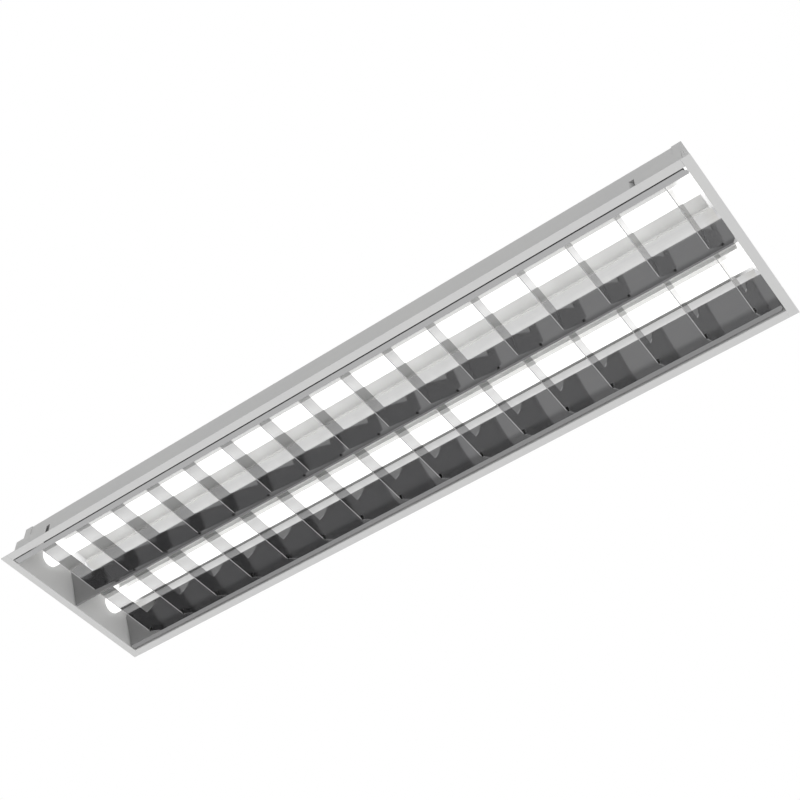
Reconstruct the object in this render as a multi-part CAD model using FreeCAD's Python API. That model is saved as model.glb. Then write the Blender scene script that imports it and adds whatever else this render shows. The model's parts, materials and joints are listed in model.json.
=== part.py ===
import FreeCAD, Part
import math
import os

os.makedirs("parts", exist_ok=True)

# Recessed troffer light for two straight tubes, in millimetres.
# X runs along the length, Y across, Z up. The origin is the centre of the flange's underside.
# left and right are -X and +X, near and far are -Y and +Y.
# What the housing holds sets its size: the tubes its length, the two rows of reflectors its
# width, and the reflectors with the gear above them its height.

# ---------------------------------------------------------------- lamps
lamp_len = 1199.4
lamp_off = 7.45
glass_r = 12.7
glass_wall = 0.8
glass_end_gap = 0.2
cap_shell = 0.3
cap_glass_fit = 0.05
cap_len = 6.5
cap_end_t = 1.0
pin_r = 1.175
pin_len = 7.1
pin_pitch = 12.7

# ---------------------------------------------------------------- lampholders
free_gap = 0.3
holder_r = 16.5
holder_back = 1.9
holder_top_gap = 0.5
rotor_r = 9.0
rotor_fit = 0.1
rotor_back = 0.7
pin_slot_fit = 0.15
pin_end_gap = 0.2
entry_slot_w = 3.2
boss_r = 5.0
boss_out = 1.5
boss_clear = 0.2

# ---------------------------------------------------------------- louvre reflectors
mouth_hw = 63.95
side_mid_in = 12.9
side_mid_rise = 30.0
side_top_in = 31.1
side_rise = 58.6
side_corner_cut = 12.0
ridge_tip_w = 2.4
ridge_nose_w = 10.0
ridge_nose_rise = 7.0
ridge_mid_w = 30.2
ridge_mid_rise = 30.0
ridge_top_w = 56.6
ridge_rise = 57.1
ridge_wall = 1.5
refl_t = 0.5
rail_w = 8.7
louvre_z = 1.4
louvre_end_gap = 1.6
louvre_side_gap = 3.2

# ---------------------------------------------------------------- cross blades
blade_count = 16
first_bay = 45.8
last_bay = 36.1
blade_t = 1.2
blade_z = 8.7
blade_lamp_gap = 3.0
blade_fit = 0.25
blade_slot_fit = 0.15
tab_h = 7.0
tab_out = 3.0
tab_root = 8.0
slit_fit = 0.2
slit_extra = 2.0
slit_in = 20.0

# ---------------------------------------------------------------- louvre hinge, far side
hinge_from_end = 160.0
hinge_edge = 4.3
hinge_pin_r = 1.5
pin_fit = 0.05
pin_head_r = 2.4
pin_head_t = 0.8
pin_end_play = 0.1
ear_t = 1.2
ear_w = 7.4
ear_h = 8.2
arm_w = 4.4
arm_t = 1.2
arm_z = 14.0
arm_h = 8.0
foot_len = 12.0
foot_h = 16.0
foot_rivet_up = 11.2

# ---------------------------------------------------------------- louvre clips, near side
clip_from_end = 160.0
clip_w = 14.0
clip_foot_h = 9.0
clip_top_gap = 2.5
finger_t = 0.6
finger_gap = 1.2
finger_h = 12.0
catch_edge = 1.8
catch_t = 0.8
catch_w = 20.0
catch_room = 6.1

# ---------------------------------------------------------------- gear on the housing's top
cover_w = 46.0
cover_t = 0.8
cover_room = 2.2
cover_dip = 6.5
cover_foot_w = 34.0
cover_lip_h = 7.4
cover_in_left = 30.0
cover_in_right = 17.0
cover_screw_in = 60.0
cover_screw_off = 30.0
ballast_len = 340.0
ballast_w = 30.0
ballast_h = 18.0
ballast_tab = 10.0
ballast_tab_w = 15.0
ballast_tab_t = 1.0
entry_in = 220.0
entry_r = 10.0
grommet_lip = 2.0
grommet_lip_t = 1.5
grommet_wall = 3.0
earth_from_entry = 50.0
block_from_earth = 40.0
block_poles = 3
block_len = 32.0
block_w = 24.0
block_h = 16.0
wire_hole_r = 3.0
wire_hole_up = 5.6
wire_hole_deep = 6.0
wire_screw_r = 2.3
wire_screw_y = 6.0
wire_screw_deep = 4.8

# ---------------------------------------------------------------- housing and end caps
sheet_t = 1.0
side_flange_w = 13.0
end_flange_w = 13.5
lower_wall_h = 38.5
ledge_w = 11.5
seam_gap = 0.3
slot_in = 73.0
slot_w = 8.0
slot_h = 24.0
slot_top_gap = 1.5
tongue_h = 14.0
tongue_angle = 50.0
cap_wrap = 14.5

# ---------------------------------------------------------------- rivets and screws
rivet_r = 1.6
rivet_head_r = 3.0
rivet_head_h = 0.8
rivet_room = 3.0
screw_r = 1.9
screw_head_r = 3.6
screw_head_h = 1.6
screw_out = 2.0
earth_screw_out = 3.0
nut_w = 7.0
nut_h = 3.0

# ---------------------------------------------------------------- derived places
past = 1.0  # how far a cutting shape runs past the sheet it cuts
row_y = mouth_hw + ridge_tip_w / 2
lamp_y = row_y + lamp_off
rail_in = row_y + mouth_hw
rail_out = rail_in + rail_w
rail_top = louvre_z + refl_t
cover_h = ballast_h + cover_room + cover_t
top_in = louvre_z + ridge_rise - cover_dip + cover_h
body_h = top_in + sheet_t
lamp_z = top_in - holder_top_gap - holder_r
cap_r = glass_r + cap_shell
blade_top = lamp_z - cap_r - blade_lamp_gap

lamp_hx = lamp_len / 2
holder_x = lamp_hx + free_gap
pocket_x = holder_x + pin_len + rotor_back + free_gap
open_hx = pocket_x + holder_back
open_hy = rail_out + louvre_side_gap
flange_hx = open_hx + end_flange_w
flange_hy = open_hy + side_flange_w
body_hx = open_hx - seam_gap
cap_out = open_hx + sheet_t
wall_out = open_hy + sheet_t
upper_out = wall_out - ledge_w
upper_in = upper_out - sheet_t
ledge_in = lower_wall_h - sheet_t
louvre_hx = open_hx - louvre_end_gap
blade_pitch = (2 * louvre_hx - first_bay - last_bay) / (blade_count - 1)

slot_x = open_hx - slot_in
slot_z1 = ledge_in - slot_top_gap
cap_rivet_x = cap_out - cap_wrap / 2
cap_rivet_y = lamp_y + holder_r + rivet_head_r + rivet_room
hinge_x = open_hx - hinge_from_end
hinge_y = rail_out - hinge_edge
hinge_z = rail_top + ear_h / 2
clip_x = open_hx - clip_from_end
clip_z = ledge_in - clip_top_gap - clip_foot_h
catch_y = catch_edge - rail_out
cover_x0 = cover_in_left - open_hx
cover_x1 = open_hx - cover_in_right
entry_x = entry_in - open_hx
earth_x = entry_x + earth_from_entry
block_x = earth_x + block_from_earth

ENDS = (("left", -1), ("right", 1))
SIDES = (("near", -1), ("far", 1))
BOTH = (-1, 1)


# ---------------------------------------------------------------- helpers
def vec(x, y, z):
    return FreeCAD.Vector(x, y, z)


def box(x0, x1, y0, y1, z0, z1):
    """Box between two corners, in any order."""
    low = vec(min(x0, x1), min(y0, y1), min(z0, z1))
    return Part.makeBox(abs(x1 - x0), abs(y1 - y0), abs(z1 - z0), low)


def rod_x(r, x0, x1, y, z):
    """Round bar along X."""
    return Part.makeCylinder(r, abs(x1 - x0), vec(min(x0, x1), y, z), vec(1, 0, 0))


def rod_y(r, y0, y1, x, z):
    """Round bar along Y."""
    return Part.makeCylinder(r, abs(y1 - y0), vec(x, min(y0, y1), z), vec(0, 1, 0))


def rod_z(r, z0, z1, x, y):
    """Round bar along Z."""
    return Part.makeCylinder(r, abs(z1 - z0), vec(x, y, min(z0, z1)), vec(0, 0, 1))


def slab_x(points, x0, x1):
    """Closed outline of (y, z) points, drawn out along X."""
    loop = [vec(min(x0, x1), y, z) for y, z in points]
    face = Part.Face(Part.makePolygon(loop + loop[:1]))
    return face.extrude(vec(abs(x1 - x0), 0, 0))


def slab_z(points, z0, z1):
    """Closed outline of (x, y) points, drawn out along Z."""
    loop = [vec(x, y, z0) for x, y in points]
    face = Part.Face(Part.makePolygon(loop + loop[:1]))
    return face.extrude(vec(0, 0, z1 - z0))


def mirror_y(points):
    """The same (y, z) points on the other side, in the order that closes the outline."""
    return [(-y, z) for y, z in reversed(points)]


def between_arcs(left, right, x0, x1, foot=()):
    """Solid between two arcs of three points each, closed below over the foot's points, along X."""
    low = [right[0], *foot, left[0]]
    edges = [
        Part.Arc(*left).toShape(),
        Part.LineSegment(left[2], right[2]).toShape(),
        Part.Arc(*right).toShape(),
    ]
    edges += [Part.LineSegment(a, b).toShape() for a, b in zip(low, low[1:])]
    face = Part.Face(Part.Wire(Part.__sortEdges__(edges)))
    face.translate(vec(x0, 0, 0))
    return face.extrude(vec(x1 - x0, 0, 0))


def save(name, shape):
    """One STEP file for each piece."""
    shape.exportStep("parts/" + name + ".step")


# ---------------------------------------------------------------- fasteners
def rivet_y(x, z, y0, y1):
    """Rivet through sheets between y0 and y1, with a head on each side."""
    shank = rod_y(rivet_r, y0, y1, x, z)
    low = rod_y(rivet_head_r, y0 - rivet_head_h, y0, x, z)
    high = rod_y(rivet_head_r, y1, y1 + rivet_head_h, x, z)
    return shank.fuse([low, high])


def rivet_z(x, y, z0, z1):
    """Rivet through sheets between z0 and z1, with a head on each side."""
    shank = rod_z(rivet_r, z0, z1, x, y)
    low = rod_z(rivet_head_r, z0 - rivet_head_h, z0, x, y)
    high = rod_z(rivet_head_r, z1, z1 + rivet_head_h, x, y)
    return shank.fuse([low, high])


def screw_up(x, y, z0, z1):
    """Screw with its head below z0 and its shank up to z1."""
    head = rod_z(screw_head_r, z0 - screw_head_h, z0, x, y)
    return head.fuse(rod_z(screw_r, z0, z1, x, y))


def top_hole(r, x, y):
    """Cutting bar through the housing's top sheet."""
    return rod_z(r, top_in - past, body_h + past, x, y)


def cap_rivet_places():
    """(x, y) of the rivets through the end caps' turned-over edges."""
    return [(end * cap_rivet_x, y) for end in BOTH for y in (-cap_rivet_y, 0, cap_rivet_y)]


def foot_rivet(end):
    """(x, z) of the rivet through a hinge bracket's foot."""
    return end * (hinge_x - free_gap - arm_t - foot_len / 2), arm_z + foot_rivet_up


def cover_screw_places():
    """X of the screws up through the gear cover, near its ends and on both sides of the ballast."""
    beside = ballast_len / 2 + ballast_tab + cover_screw_off
    return [cover_x0 + cover_screw_in, -beside, beside, cover_x1 - cover_screw_in]


def ballast_screw_places():
    """X of the screws through the ballast's end tabs."""
    x = (ballast_len + ballast_tab) / 2
    return [-x, x]


# ---------------------------------------------------------------- housing
def housing_sheet():
    """Folded channel: top, stepped side walls and the two long flanges."""
    outer = [
        (flange_hy, 0.0),
        (flange_hy, sheet_t),
        (wall_out, sheet_t),
        (wall_out, lower_wall_h),
        (upper_out, lower_wall_h),
        (upper_out, body_h),
    ]
    inner = [
        (upper_in, top_in),
        (upper_in, ledge_in),
        (open_hy, ledge_in),
        (open_hy, 0.0),
    ]
    outline = outer + mirror_y(outer) + mirror_y(inner) + inner
    return slab_x(outline, -body_hx, body_hx)


def wall_slot(side, end):
    """Cutting box of one lanced slot in a long wall."""
    x0 = end * (slot_x - slot_w / 2)
    x1 = end * (slot_x + slot_w / 2)
    return box(x0, x1, side * (open_hy - past), side * (wall_out + past), slot_z1 - slot_h, slot_z1)


def wall_tongue(side, end):
    """Tongue of a slot, bent into the housing about the slot's edge nearer the middle."""
    turn = math.radians(tongue_angle)
    root = end * (slot_x - slot_w / 2)
    tip = root + end * slot_w * math.cos(turn)
    reach = slot_w * math.sin(turn)
    outline = [
        (root, side * wall_out),
        (tip, side * (wall_out - reach)),
        (tip, side * (open_hy - reach)),
        (root, side * open_hy),
    ]
    return slab_z(outline, slot_z1 - tongue_h, slot_z1)


def housing_body():
    body = housing_sheet()
    holes = [top_hole(entry_r, entry_x, 0), top_hole(screw_r, earth_x, 0)]
    holes += [top_hole(screw_r, x, 0) for x in cover_screw_places() + ballast_screw_places()]
    holes += [top_hole(rivet_r, x, y) for x, y in cap_rivet_places()]
    for end in BOTH:
        holes.append(rod_y(rivet_r, open_hy - past, wall_out + past, *foot_rivet(end)))
        holes += [wall_slot(side, end) for side in BOTH]
    for hole in holes:
        body = body.cut(hole)
    for end in BOTH:
        for side in BOTH:
            body = body.fuse(wall_tongue(side, end))
    return body.removeSplitter()


def end_cap(end):
    """End plate with its flange below and a wrap over the housing's upper part."""
    lap = upper_out + sheet_t
    cap_top = body_h + sheet_t
    outline = [(wall_out, 0.0), (wall_out, lower_wall_h), (lap, lower_wall_h), (lap, cap_top)]
    plate = slab_x(outline + mirror_y(outline), end * open_hx, end * cap_out)
    edge = end * (cap_out - cap_wrap)
    flange = box(end * open_hx, end * flange_hx, -flange_hy, flange_hy, 0, sheet_t)
    top = box(edge, end * cap_out, -lap, lap, body_h, cap_top)
    cap = plate.fuse([flange, top])
    for side in BOTH:
        lip = box(edge, end * cap_out, side * upper_out, side * lap, lower_wall_h, cap_top)
        cap = cap.fuse(lip)
        inside = end * (open_hx - past)
        outside = end * (cap_out + past)
        cap = cap.cut(rod_x(boss_r + boss_clear, inside, outside, side * lamp_y, lamp_z))
    for x, y in cap_rivet_places():
        if x * end > 0:
            cap = cap.cut(rod_z(rivet_r, body_h - past, cap_top + past, x, y))
    return cap.removeSplitter()


def cap_rivets():
    cap_top = body_h + sheet_t
    return Part.makeCompound([rivet_z(x, y, top_in, cap_top) for x, y in cap_rivet_places()])


def wall_rivets():
    """Rivets that hold the hinge brackets to the far wall."""
    return Part.makeCompound([rivet_y(*foot_rivet(end), open_hy - arm_t, wall_out) for end in BOTH])


# ---------------------------------------------------------------- gear
def gear_cover():
    """Long hat-shaped cover on wide feet with turned-down lips."""
    low = top_in - cover_h
    half = cover_w / 2
    foot = half + cover_foot_w
    outer = [
        (foot - cover_t, top_in - cover_lip_h),
        (foot, top_in - cover_lip_h),
        (foot, top_in),
        (half - cover_t, top_in),
        (half - cover_t, low + cover_t),
    ]
    inner = [(half, low), (half, top_in - cover_t), (foot - cover_t, top_in - cover_t)]
    outline = outer + mirror_y(outer) + mirror_y(inner) + inner
    cover = slab_x(outline, cover_x0, cover_x1)
    for x in cover_screw_places():
        cover = cover.cut(rod_z(screw_r, low - past, low + cover_t + past, x, 0))
    return cover


def cover_screws():
    """Long screws from under the cover, which hold its feet against the housing's top."""
    low = top_in - cover_h
    return Part.makeCompound([screw_up(x, 0, low, body_h + screw_out) for x in cover_screw_places()])


def ballast():
    low = top_in - ballast_tab_t
    half = ballast_len / 2
    case = box(-half, half, -ballast_w / 2, ballast_w / 2, top_in - ballast_h, top_in)
    for end in BOTH:
        tip = end * (half + ballast_tab)
        case = case.fuse(box(end * half, tip, -ballast_tab_w / 2, ballast_tab_w / 2, low, top_in))
    for x in ballast_screw_places():
        case = case.cut(rod_z(screw_r, low - past, top_in + past, x, 0))
    return case.removeSplitter()


def ballast_screws():
    low = top_in - ballast_tab_t
    return Part.makeCompound([screw_up(x, 0, low, body_h + screw_out) for x in ballast_screw_places()])


def terminal_block():
    """Mains terminal block with a wire hole and a clamping screw hole for each pole."""
    low = top_in - block_h
    start = block_x - block_len / 2
    block = box(start, start + block_len, -block_w / 2, block_w / 2, low, top_in)
    pole = block_len / block_poles
    for i in range(block_poles):
        x = start + pole * (i + 0.5)
        mouth = -block_w / 2
        block = block.cut(rod_y(wire_hole_r, mouth - past, mouth + wire_hole_deep, x, low + wire_hole_up))
        block = block.cut(rod_z(wire_screw_r, low - past, low + wire_screw_deep, x, wire_screw_y))
    return block


def cable_grommet():
    """Rubber bush with a lip on each side of the housing's top."""
    low = top_in - grommet_lip_t
    high = body_h + grommet_lip_t
    lip = entry_r + grommet_lip
    ring = rod_z(entry_r, top_in, body_h, entry_x, 0)
    ring = ring.fuse([rod_z(lip, low, top_in, entry_x, 0), rod_z(lip, body_h, high, entry_x, 0)])
    return ring.cut(rod_z(entry_r - grommet_wall, low - past, high + past, entry_x, 0))


def earth_screw():
    """Earth screw with its nut under the housing's top."""
    low = top_in - nut_h
    corner = nut_w / math.sqrt(3)
    points = []
    for i in range(6):
        turn = math.radians(60 * i)
        points.append((earth_x + corner * math.cos(turn), corner * math.sin(turn)))
    return screw_up(earth_x, 0, low, body_h + earth_screw_out).fuse(slab_z(points, low, top_in))


# ---------------------------------------------------------------- lampholders and lamps
def lampholder(end, side):
    """Round holder with a pocket for its rotor and an entry slot below for the pins."""
    y = side * lamp_y
    mouth = end * (holder_x - past)
    shell = rod_x(holder_r, end * holder_x, end * open_hx, y, lamp_z)
    boss = rod_x(boss_r, end * open_hx, end * (cap_out + boss_out), y, lamp_z)
    pocket = rod_x(rotor_r + rotor_fit, mouth, end * pocket_x, y, lamp_z)
    half = entry_slot_w / 2
    entry = box(mouth, end * pocket_x, y - half, y + half, lamp_z - holder_r - past, lamp_z)
    return shell.fuse(boss).cut(pocket).cut(entry).removeSplitter()


def rotor(end, side):
    """Disc that turns with the lamp, slotted across for the two pins."""
    y = side * lamp_y
    front = end * (holder_x + free_gap)
    disc = rod_x(rotor_r, front, end * (pocket_x - free_gap), y, lamp_z)
    half = pin_r + pin_slot_fit
    wide = rotor_r + past
    deep = end * (lamp_hx + pin_len + pin_end_gap)
    return disc.cut(box(front - end * past, deep, y - wide, y + wide, lamp_z - half, lamp_z + half))


def lamp_cap(end, side):
    """Metal cup on the tube's end with its two contact pins."""
    y = side * lamp_y
    inner = end * (lamp_hx - cap_len)
    face = end * lamp_hx
    cup = rod_x(cap_r, inner, face, y, lamp_z)
    bore = rod_x(glass_r + cap_glass_fit, inner - end * past, face - end * cap_end_t, y, lamp_z)
    cup = cup.cut(bore)
    for pin in BOTH:
        cup = cup.fuse(rod_x(pin_r, face, face + end * pin_len, y + pin * pin_pitch / 2, lamp_z))
    return cup


def lamp_glass(side):
    y = side * lamp_y
    reach = lamp_hx - cap_end_t - glass_end_gap
    tube = rod_x(glass_r, -reach, reach, y, lamp_z)
    return tube.cut(rod_x(glass_r - glass_wall, -reach - past, reach + past, y, lamp_z))


# ---------------------------------------------------------------- louvre
def side_curve(side, out):
    """Side reflector's face, moved out from the lamp, as three points of an arc from the rail up."""
    steps = [(0.0, 0.0), (side_mid_in, side_mid_rise), (side_top_in, side_rise)]
    return [vec(0, side * (rail_in - in_by + out), louvre_z + up) for in_by, up in steps]


def ridge_curve(side):
    """Face of the V above its nose, as three points of an arc."""
    steps = [(ridge_nose_w, ridge_nose_rise), (ridge_mid_w, ridge_mid_rise), (ridge_top_w, ridge_rise)]
    return [vec(0, side * width / 2, louvre_z + up) for width, up in steps]


def blade_places():
    first = first_bay - louvre_hx
    return [first + blade_pitch * i for i in range(blade_count)]


def top_corner(end):
    """Cutting wedge over a side reflector's top corner, which swings past the lampholder."""
    top = louvre_z + side_rise + past
    tip = end * (louvre_hx + past)
    deep = side_corner_cut + 2 * past
    loop = [vec(tip - end * deep, -rail_in, top), vec(tip, -rail_in, top), vec(tip, -rail_in, top - deep)]
    face = Part.Face(Part.makePolygon(loop + loop[:1]))
    return face.extrude(vec(0, 2 * rail_in, 0))


def side_reflector(side):
    """Curved outer reflector of a row, with the flat rail along its lower edge."""
    across = refl_t * math.hypot(side_rise, side_top_in) / side_rise
    sheet = between_arcs(side_curve(side, 0), side_curve(side, across), -louvre_hx, louvre_hx)
    for end in BOTH:
        sheet = sheet.cut(top_corner(end))
    sheet = sheet.fuse(box(-louvre_hx, louvre_hx, side * rail_in, side * rail_out, louvre_z, rail_top))
    low = blade_z - free_gap
    high = blade_z + tab_h + free_gap
    for x in blade_places():
        x0 = x - blade_t / 2 - slit_fit
        x1 = x + blade_t / 2 + slit_extra
        sheet = sheet.cut(box(x0, x1, side * (rail_in - slit_in), side * (rail_in + past), low, high))
    return sheet.removeSplitter()


def centre_reflector():
    """Folded V between the two rows, slotted from above for the cross blades."""
    tip = [vec(0, side * ridge_tip_w / 2, louvre_z) for side in (1, -1)]
    wedge = between_arcs(ridge_curve(-1), ridge_curve(1), -louvre_hx, louvre_hx, tip)
    core = wedge.copy()
    core.translate(vec(0, 0, ridge_wall))
    fold = wedge.cut(core)
    half = blade_t / 2 + blade_slot_fit
    for x in blade_places():
        high = louvre_z + ridge_rise + past
        fold = fold.cut(box(x - half, x + half, -row_y, row_y, blade_z - free_gap, high))
    return fold


def blade(x):
    """Cross blade through both rows, with a tab at each end in its slit."""
    x0 = x - blade_t / 2
    x1 = x + blade_t / 2
    room = between_arcs(side_curve(-1, -blade_fit), side_curve(1, -blade_fit), x0, x1)
    plate = room.common(box(x0, x1, -rail_out, rail_out, blade_z, blade_top))
    foot = plate.BoundBox.YMax
    for side in BOTH:
        tab = box(x0, x1, side * (foot - tab_root), side * (foot + tab_out), blade_z, blade_z + tab_h)
        plate = plate.fuse(tab)
    return plate.removeSplitter()


# ---------------------------------------------------------------- hinge and clips
def hinge_ear(end):
    """Ear on the far rail, round the hinge pin."""
    x0 = end * hinge_x
    x1 = end * (hinge_x + ear_t)
    ear = box(x0, x1, hinge_y - ear_w / 2, hinge_y + ear_w / 2, rail_top, rail_top + ear_h)
    return ear.cut(rod_x(hinge_pin_r + pin_fit, x0 - end * past, x1 + end * past, hinge_y, hinge_z))


def hinge_bracket(end):
    """Arm from the wall, over the rail, down to the hinge pin."""
    x1 = end * (hinge_x - free_gap)
    x0 = x1 - end * arm_t
    low = hinge_y - arm_w / 2
    reach = box(x0, x1, low, open_hy, arm_z, arm_z + arm_h)
    drop = box(x0, x1, low, low + arm_w, hinge_z, arm_z + arm_h)
    eye = rod_x(arm_w / 2, x0, x1, hinge_y, hinge_z)
    foot = box(x1, x0 - end * foot_len, open_hy - arm_t, open_hy, arm_z, arm_z + foot_h)
    arm = reach.fuse([drop, eye, foot])
    arm = arm.cut(rod_x(hinge_pin_r + pin_fit, x0 - end * past, x1 + end * past, hinge_y, hinge_z))
    arm = arm.cut(rod_y(rivet_r, open_hy - arm_t - past, open_hy + past, *foot_rivet(end)))
    return arm.removeSplitter()


def hinge_pin(end):
    """Headed pin through the bracket's eye and the ear."""
    x0 = end * (hinge_x - free_gap - arm_t - pin_end_play)
    x1 = end * (hinge_x + ear_t + free_gap)
    shank = rod_x(hinge_pin_r, x0, x1, hinge_y, hinge_z)
    head = rod_x(pin_head_r, x1, x1 + end * pin_head_t, hinge_y, hinge_z)
    tail = rod_x(pin_head_r, x0 - end * pin_head_t, x0, hinge_y, hinge_z)
    return shank.fuse([head, tail])


def catch_tab(end):
    """Upright tab on the near rail that slides up between the clip's fingers."""
    x = end * clip_x
    high = clip_z - catch_room
    return box(x - catch_w / 2, x + catch_w / 2, catch_y, catch_y + catch_t, rail_top, high)


def louvre_clip(end):
    """Spring clip on the near wall: two fingers that hang either side of the tab."""
    x0 = end * clip_x - clip_w / 2
    x1 = x0 + clip_w
    wall = -open_hy
    outer = catch_y - finger_gap
    inner = catch_y + catch_t + finger_gap
    tips = clip_z - finger_h
    foot = box(x0, x1, wall, wall + finger_t, clip_z, clip_z + clip_foot_h)
    bridge = box(x0, x1, wall, inner + finger_t, clip_z, clip_z + finger_t)
    outer_finger = box(x0, x1, outer - finger_t, outer, tips, clip_z)
    inner_finger = box(x0, x1, inner, inner + finger_t, tips, clip_z)
    return foot.fuse([bridge, outer_finger, inner_finger]).removeSplitter()


# ---------------------------------------------------------------- write every piece
save("housing_body", housing_body())
save("cap_rivets", cap_rivets())
save("wall_rivets", wall_rivets())
save("gear_cover", gear_cover())
save("cover_screws", cover_screws())
save("ballast", ballast())
save("ballast_screws", ballast_screws())
save("terminal_block", terminal_block())
save("cable_grommet", cable_grommet())
save("earth_screw", earth_screw())
save("centre_reflector", centre_reflector())
for end_name, end in ENDS:
    save("end_cap_" + end_name, end_cap(end))
    save("hinge_bracket_" + end_name, hinge_bracket(end))
    save("hinge_pin_" + end_name, hinge_pin(end))
    save("hinge_ear_" + end_name, hinge_ear(end))
    save("louvre_clip_" + end_name, louvre_clip(end))
    save("catch_tab_" + end_name, catch_tab(end))
    for side_name, side in SIDES:
        save("lampholder_" + side_name + "_" + end_name, lampholder(end, side))
        save("rotor_" + side_name + "_" + end_name, rotor(end, side))
        save("lamp_cap_" + side_name + "_" + end_name, lamp_cap(end, side))
for side_name, side in SIDES:
    save("lamp_glass_" + side_name, lamp_glass(side))
    save("side_reflector_" + side_name, side_reflector(side))
for number, x in enumerate(blade_places(), start=1):
    save("blade_%02d" % number, blade(x))
print("flange %.1f x %.1f mm, %.1f mm high" % (2 * flange_hx, 2 * flange_hy, body_h + sheet_t))
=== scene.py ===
"""Recessed troffer light: finishes, tubes, holders and studio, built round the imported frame.

The file is laid out as a Blender add-on and run as a script. Lengths are metres in the frame's axes:
+X along the light, +Y towards the louvre's hinge side, +Z up, the origin in the flange's underside.
"""

import json
import math

import bmesh
import bpy
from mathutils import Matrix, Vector


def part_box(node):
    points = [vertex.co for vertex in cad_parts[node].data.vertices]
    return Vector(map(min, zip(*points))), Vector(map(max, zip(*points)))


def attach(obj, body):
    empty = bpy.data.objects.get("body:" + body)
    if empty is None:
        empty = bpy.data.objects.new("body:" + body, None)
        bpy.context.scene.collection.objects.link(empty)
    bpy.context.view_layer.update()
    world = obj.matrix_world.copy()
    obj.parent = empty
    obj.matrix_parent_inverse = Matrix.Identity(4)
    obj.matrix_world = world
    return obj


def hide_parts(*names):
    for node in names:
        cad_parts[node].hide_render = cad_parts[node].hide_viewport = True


bl_info = {
    "name": "Recessed troffer light",
    "version": (1, 0, 0),
    "blender": (4, 5, 0),
    "location": "View3D > Sidebar > Troffer",
    "description": "Builds the visible pieces of a recessed ceiling light round its frame",
    "category": "Object",
}

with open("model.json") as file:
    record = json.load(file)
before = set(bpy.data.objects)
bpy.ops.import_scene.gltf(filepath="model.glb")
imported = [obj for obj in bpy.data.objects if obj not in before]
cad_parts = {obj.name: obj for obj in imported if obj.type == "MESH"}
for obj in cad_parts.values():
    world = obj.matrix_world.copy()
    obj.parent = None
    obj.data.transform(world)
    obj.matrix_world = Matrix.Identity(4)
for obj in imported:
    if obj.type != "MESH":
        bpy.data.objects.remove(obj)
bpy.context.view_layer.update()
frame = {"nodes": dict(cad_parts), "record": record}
NODES = frame["nodes"]
BODIES = frame["record"]["behaviour"]["bodies"]
BODY_OF = {node: body for body, nodes in BODIES.items() for node in nodes}

MM = 0.001
ENDS = (("left", -1), ("right", 1))
SIDES = (("near", -1), ("far", 1))
BLADES = sorted(name for name in NODES if name.startswith("blade_"))

# Points closer than WELD are one point. Facets within FLAT_ANGLE are one face.
# Faces that turn by more than SHARP_ANGLE meet in a hard edge.
WELD = 0.002 * MM
FLAT_ANGLE = math.radians(0.2)
SHARP_ANGLE = math.radians(32)

# Rounding of folded, cut, pressed and moulded edges.
FOLD_EASE = 0.25 * MM
BLADE_EASE = 0.1 * MM
PRESSED_EASE = 0.12 * MM
EARTH_EASE = 0.2 * MM
CAN_EASE = 0.6 * MM
BLOCK_EASE = 0.4 * MM
HOLDER_EASE = 0.5 * MM
ROTOR_EASE = 0.3 * MM

# Facets round the small turned pieces.
SHOULDER_STEPS = 6
PIN_STEPS = 20
FASTENER_STEPS = 24
GROMMET_STEPS = 48

LOUVRE_LOW, LOUVRE_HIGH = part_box("side_reflector_far")
RIDGE_LOW, RIDGE_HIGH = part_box("centre_reflector")
# Faces of the housing that look down from above this height are the roof's inside.
ROOF_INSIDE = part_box("housing_body")[1].z - 3 * MM
LOOKS_DOWN = -0.9
# The roof's painted glow starts over the first width, and the holders' painted glow ends over the
# second.
ROOF_FADE = 20 * MM
PLATE_FADE = 0.5 * MM

# Free height under and over a blade in its slit or slot, and the gap beside it in the V's slot.
BLADE_ROOM = 0.3 * MM
SLOT_FIT = 0.15 * MM
# Rounding beside the V's flat tip, and the height up to which its fold is painted darker, as painted
# shade along the crease.
FOLD_OUT = 0.2 * MM
FOLD_UP = 0.1 * MM
FOLD_HEIGHT = 0.12 * MM

# Tube cap: turned-in rim, its lip, the groove's four edges along the cap, and the drawn corner.
CAP_RIM = 0.3 * MM
CAP_LIP = 0.1 * MM
CAP_GROOVE_EDGES = (1.4 * MM, 1.7 * MM, 2.3 * MM, 2.6 * MM)
CAP_CORNER = 1.0 * MM
# Riveted collar at the foot of each pin: (distance past the cap's end, extra radius), in mm.
PIN_COLLAR = ((-0.3, 0.5), (0.4, 0.4), (0.5, 0.0))

# Blind rivet's head with the mandrel's pit: (distance from its top, radius), in mm.
RIVET_HEAD = 0.8 * MM
RIVET_HEAD_OUTLINE = ((0.35, 0), (0.3, 0.8), (0.05, 1.0), (0.1, 1.6), (0.35, 2.5), (0.65, 3.0))
RIVET_FLANGE = 3.0 * MM
RIVET_SHANK = 1.6 * MM
# Rivet's tail: radius at its foot, radius of its dome, and the dome's share of the head's height.
RIVET_TAIL = (2.9 * MM, 2.7 * MM)
TAIL_SHARE = 0.6

# M4 pan-head screw. THREAD_RISE is the share of the pitch from a thread's crest down to its root.
# PAN_SHAPE gives (share of the head's height, share of its radius).
SCREW_PITCH = 0.7 * MM
SCREW_RADIUS = 1.9 * MM
THREAD_DEPTH = 0.3 * MM
THREAD_RISE = 0.4
PAN_HEIGHT = 1.6 * MM
PAN_RADIUS = 3.6 * MM
PAN_SHAPE = ((0, 0.55), (0.25, 0.9), (0.6, 1.0), (1.0, 1.0))

# Grommet: bore, waist in the sheet, lips and their rounded edges.
GROMMET_BORE = 7.0 * MM
GROMMET_WAIST = 10.0 * MM
GROMMET_LIP = 1.5 * MM
GROMMET_SOFT = 0.6 * MM
BORE_EDGE = 0.4 * MM
LIP_EDGE = 0.3 * MM
LIP_TURN = 0.2 * MM

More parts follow.
